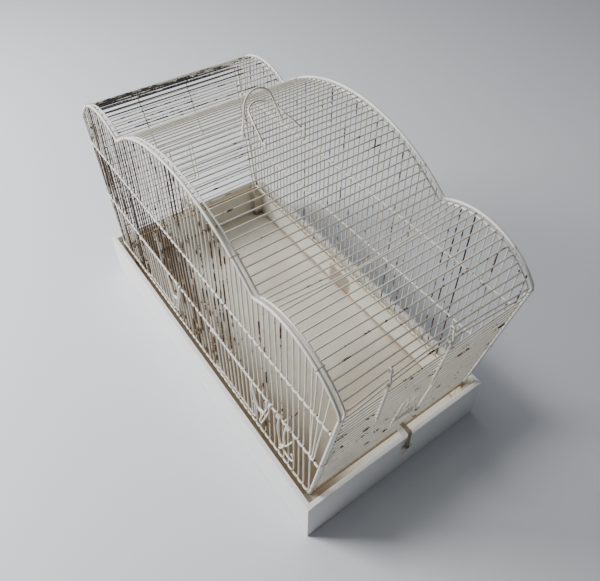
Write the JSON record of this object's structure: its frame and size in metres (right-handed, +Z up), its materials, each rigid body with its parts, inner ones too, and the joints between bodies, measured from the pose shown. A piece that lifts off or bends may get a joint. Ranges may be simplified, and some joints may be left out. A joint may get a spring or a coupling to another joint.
{
  "type": "wire bird cage",
  "caption": "Long wire bird cage with a domed roof, hanging front doors, end hatches and folding bail handles, held in a deep wooden tray by sheet metal catches.",
  "frame": {"origin": "middle of the tray's underside, the surface the cage stands on", "axes": "+X along the cage towards the right end seen from the doors, -Y towards the long side with the two doors, +Z up"},
  "size_m": [0.624, 0.3, 0.4443],
  "materials": {
    "tray_paint": "worn off-white paint",
    "tray_floor_paint": "stained cream paint",
    "wood_block": "bare",
    "wire_paint": "chipped cream paint",
    "bare_wire": "dull, lightly rusted",
    "nail_steel": "dull",
    "strap_sheet": "worn"
  },
  "bodies": {
    "tray_and_cage": {"tray_wall_front": "tray_paint", "tray_wall_back": "tray_paint", "tray_wall_left": "tray_paint", "tray_wall_right": "tray_paint", "tray_floor": "tray_floor_paint", "tray_corner_blocks": "wood_block", "tray_nails": "nail_steel", "catch_screws": "nail_steel", "catch_pin_right": "nail_steel", "catch_pin_left": "nail_steel", "catch_plate_right": "strap_sheet", "catch_plate_left": "strap_sheet", "cage_frame_front": "wire_paint", "cage_frame_back": "wire_paint", "base_wire_right": "wire_paint", "base_wire_left": "wire_paint", "side_bars_front": "wire_paint", "side_bars_back": "wire_paint", "rail_lower_front": "wire_paint", "rail_middle_front": "wire_paint", "rail_upper_front": "wire_paint", "rail_lower_back": "wire_paint", "rail_middle_back": "wire_paint", "rail_upper_back": "wire_paint", "roof_edge_front": "wire_paint", "roof_edge_back": "wire_paint", "main_dome_bars": "wire_paint", "right_dome_bars": "wire_paint", "left_dome_bars": "wire_paint", "right_end_bars": "wire_paint", "left_end_bars": "wire_paint", "panel_clips": "wire_paint", "right_end_rods": "wire_paint", "left_end_rods": "wire_paint", "right_hatch_posts": "wire_paint", "left_hatch_posts": "wire_paint"},
    "front_door_right": {"right_door_frame": "wire_paint", "right_door_bars": "wire_paint", "right_door_tongue": "bare_wire"},
    "front_door_left": {"left_door_frame": "wire_paint", "left_door_bars": "wire_paint", "left_door_tongue": "bare_wire"},
    "end_hatch_right": {"right_hatch_frame": "wire_paint", "right_hatch_bars": "wire_paint", "right_hatch_pull": "bare_wire"},
    "end_hatch_left": {"left_hatch_frame": "wire_paint", "left_hatch_bars": "wire_paint", "left_hatch_pull": "bare_wire"},
    "latch_hook_right": {"right_latch_hook": "bare_wire"},
    "latch_hook_left": {"left_latch_hook": "bare_wire"},
    "greens_clip": {"greens_clip": "bare_wire"},
    "bail_left": {"handle_bail_left": "bare_wire"},
    "bail_right": {"handle_bail_right": "bare_wire"},
    "catch_right": {"tray_catch_right": "strap_sheet"},
    "catch_left": {"tray_catch_left": "strap_sheet"}
  },
  "joints": [
    {"name": "front_door_right_hinge", "type": "hinge", "parent": "tray_and_cage", "child": "front_door_right", "pos_m": [0.05125, -0.1343, 0.122], "axis": [0, 0, -1], "range_deg": [0, 120]},
    {"name": "front_door_left_hinge", "type": "hinge", "parent": "tray_and_cage", "child": "front_door_left", "pos_m": [-0.164, -0.1343, 0.122], "axis": [0, 0, -1], "range_deg": [0, 120]},
    {"name": "end_hatch_right_hinge", "type": "hinge", "parent": "tray_and_cage", "child": "end_hatch_right", "pos_m": [0.2916, 0, 0.20405], "axis": [0, -1, 0], "range_deg": [0, 100]},
    {"name": "end_hatch_left_hinge", "type": "hinge", "parent": "tray_and_cage", "child": "end_hatch_left", "pos_m": [-0.2916, 0, 0.20405], "axis": [0, 1, 0], "range_deg": [0, 100]},
    {"name": "latch_hook_right_hinge", "type": "hinge", "parent": "tray_and_cage", "child": "latch_hook_right", "pos_m": [0.18962, -0.1365, 0.17], "axis": [-1, 0, 0], "range_deg": [0, 90]},
    {"name": "latch_hook_left_hinge", "type": "hinge", "parent": "tray_and_cage", "child": "latch_hook_left", "pos_m": [-0.03587, -0.1365, 0.17], "axis": [-1, 0, 0], "range_deg": [0, 90]},
    {"name": "greens_clip_hinge", "type": "hinge", "parent": "tray_and_cage", "child": "greens_clip", "pos_m": [0.2255, -0.1365, 0.17], "axis": [-1, 0, 0], "range_deg": [0, 70]},
    {"name": "bail_left_hinge", "type": "hinge", "parent": "tray_and_cage", "child": "bail_left", "pos_m": [-0.0052, -0.0082, 0.39595], "axis": [0, -1, 0], "range_deg": [-45, 30]},
    {"name": "bail_right_hinge", "type": "hinge", "parent": "tray_and_cage", "child": "bail_right", "pos_m": [0.02596, 0.002, 0.39471], "axis": [0, -1, 0], "range_deg": [-20, 0]},
    {"name": "catch_right_hinge", "type": "hinge", "parent": "tray_and_cage", "child": "catch_right", "pos_m": [0.2898, 0.008, 0.058], "axis": [0, 1, 0], "range_deg": [0, 110]},
    {"name": "catch_left_hinge", "type": "hinge", "parent": "tray_and_cage", "child": "catch_left", "pos_m": [-0.2898, -0.008, 0.058], "axis": [0, -1, 0], "range_deg": [0, 110]}
  ]
}
